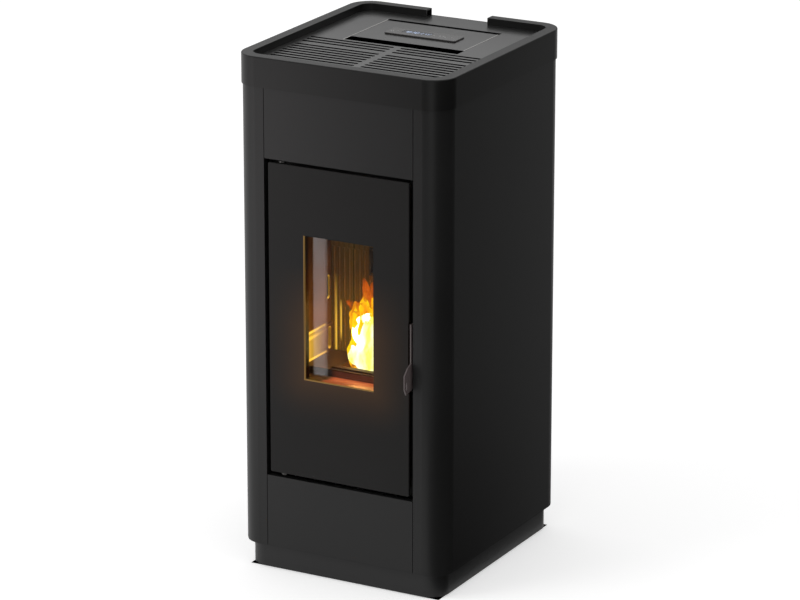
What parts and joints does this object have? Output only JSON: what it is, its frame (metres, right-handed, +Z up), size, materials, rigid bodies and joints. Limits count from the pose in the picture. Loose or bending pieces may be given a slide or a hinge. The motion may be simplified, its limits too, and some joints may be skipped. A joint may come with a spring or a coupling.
{
  "type": "pellet stove",
  "caption": "Freestanding pellet stove: tall rounded sheet-steel case with a slotted top grille, hopper lid with display, and a full-height glass door with a window onto the burn pot",
  "frame": {"origin": "middle of the overall box in plan, on the floor", "axes": "+X to the viewer's right, -Y towards the door, +Z up"},
  "size_m": [0.445, 0.536, 1.01],
  "materials": {
    "case_coat": "satin black powder coat with a fine grain",
    "inner_steel": "galvanised sheet, dull",
    "heat_paint": "matt heat-resistant black paint",
    "display_plastic": "dark brown-grey smooth moulding",
    "display_glass": "pale blue-white lit screen",
    "ceramic_glass": "dark printed ceramic glass, clear at the window",
    "clear_glass": "clear heat-resistant glass",
    "rope": "grey braided glass-fibre rope",
    "liner_steel": "heat-tinted stainless sheet",
    "cast_plate": "rough cast, heat stained",
    "steel_parts": "plain steel",
    "motor_metal": "cast and pressed housings",
    "board_plastic": "green circuit board with plain components",
    "socket_plastic": "black moulding",
    "button_plastic": "red moulding"
  },
  "bodies": {
    "stove_body": {"base_plate": "inner_steel", "base_plinth": "case_coat", "side_panel_left": "case_coat", "side_panel_right": "case_coat", "front_top_panel": "case_coat", "front_lower_panel": "case_coat", "rear_panel": "case_coat", "case_screws": "inner_steel", "bulkhead": "inner_steel", "top_rim": "case_coat", "top_plate": "case_coat", "lid_hinges": "inner_steel", "lid_gasket": "rope", "hinge_brackets": "inner_steel", "latch_catch": "inner_steel", "firebox_shell": "heat_paint", "firebox_stand": "inner_steel", "front_face": "heat_paint", "side_liners": "liner_steel", "back_liner": "liner_steel", "hearth_plate": "cast_plate", "baffle_plate": "cast_plate", "igniter": "steel_parts", "heat_risers": "heat_paint", "pellet_chute": "inner_steel", "auger_tube": "heat_paint", "auger_gearmotor": "motor_metal", "pellet_hopper": "inner_steel", "hopper_guard": "inner_steel", "smoke_fan_housing": "inner_steel", "smoke_fan_motor": "motor_metal", "flue_box": "inner_steel", "flue_outlet": "heat_paint", "air_intake_pipe": "heat_paint", "room_fan_housing": "inner_steel", "room_fan_motor": "motor_metal", "control_board": "board_plastic", "power_inlet": "socket_plastic", "safety_thermostat": "motor_metal"},
    "door": {"door_glass": "ceramic_glass", "door_frame": "inner_steel", "window_pane": "clear_glass", "pane_clips": "inner_steel", "door_seal": "rope", "hinge_pins": "inner_steel"},
    "handle": {"door_handle": "case_coat"},
    "lid": {"pellet_lid": "case_coat", "display_module": "display_plastic", "display_screen": "display_glass"},
    "auger": {"auger_screw": "steel_parts"},
    "smoke_wheel": {"smoke_fan_wheel": "steel_parts"},
    "room_rotor": {"room_fan_rotor": "steel_parts"},
    "pot": {"burn_pot": "cast_plate"},
    "drawer": {"ash_drawer": "inner_steel"},
    "rocker": {"power_rocker": "socket_plastic"},
    "button": {"reset_button": "button_plastic"},
    "foot_fl": {"levelling_foot_front_left": "steel_parts"},
    "foot_fr": {"levelling_foot_front_right": "steel_parts"},
    "foot_rl": {"levelling_foot_rear_left": "steel_parts"},
    "foot_rr": {"levelling_foot_rear_right": "steel_parts"}
  },
  "joints": [
    {"name": "door_hinge", "type": "hinge", "parent": "stove_body", "child": "door", "pos_m": [-0.123, -0.231, 0.5], "axis": [0, 0, -1], "range_deg": [0, 110]},
    {"name": "handle_pivot", "type": "hinge", "parent": "door", "child": "handle", "pos_m": [0.1524, -0.2315, 0.531], "axis": [-1, 0, 0], "range_deg": [0, 25]},
    {"name": "lid_hinge", "type": "hinge", "parent": "stove_body", "child": "lid", "pos_m": [0, 0.1665, 0.991], "axis": [-1, 0, 0], "range_deg": [0, 85]},
    {"name": "auger_spin", "type": "hinge", "parent": "stove_body", "child": "auger", "pos_m": [0, 0.112, 0.555], "axis": [0, -0.6428, 0.766], "continuous": true},
    {"name": "smoke_fan_spin", "type": "hinge", "parent": "stove_body", "child": "smoke_wheel", "pos_m": [-0.075, 0.05, 0.29], "axis": [0, 1, 0], "continuous": true},
    {"name": "room_fan_spin", "type": "hinge", "parent": "stove_body", "child": "room_rotor", "pos_m": [-0.026, -0.1715, 0.106], "axis": [1, 0, 0], "continuous": true},
    {"name": "burn_pot_lift", "type": "slide", "parent": "stove_body", "child": "pot", "axis": [0, 0, 1], "range_m": [0, 0.04]},
    {"name": "ash_drawer_slide", "type": "slide", "parent": "stove_body", "child": "drawer", "axis": [0, -1, 0], "range_m": [0, 0.025]},
    {"name": "rocker_tilt", "type": "hinge", "parent": "stove_body", "child": "rocker", "pos_m": [0.15, 0.2025, 0.14], "axis": [-1, 0, 0], "range_deg": [0, 16]},
    {"name": "reset_button_press", "type": "slide", "parent": "stove_body", "child": "button", "axis": [0, -1, 0], "range_m": [0, 0.002], "stiffness_N_per_m": 500, "springref_m": -0.001},
    {"name": "foot_fl_turn", "type": "hinge", "parent": "stove_body", "child": "foot_fl", "pos_m": [-0.172, -0.195, 0.05], "axis": [0, 0, 1], "continuous": true},
    {"name": "foot_fr_turn", "type": "hinge", "parent": "stove_body", "child": "foot_fr", "pos_m": [0.172, -0.195, 0.05], "axis": [0, 0, 1], "continuous": true},
    {"name": "foot_rl_turn", "type": "hinge", "parent": "stove_body", "child": "foot_rl", "pos_m": [-0.172, 0.195, 0.05], "axis": [0, 0, 1], "continuous": true},
    {"name": "foot_rr_turn", "type": "hinge", "parent": "stove_body", "child": "foot_rr", "pos_m": [0.172, 0.195, 0.05], "axis": [0, 0, 1], "continuous": true}
  ]
}
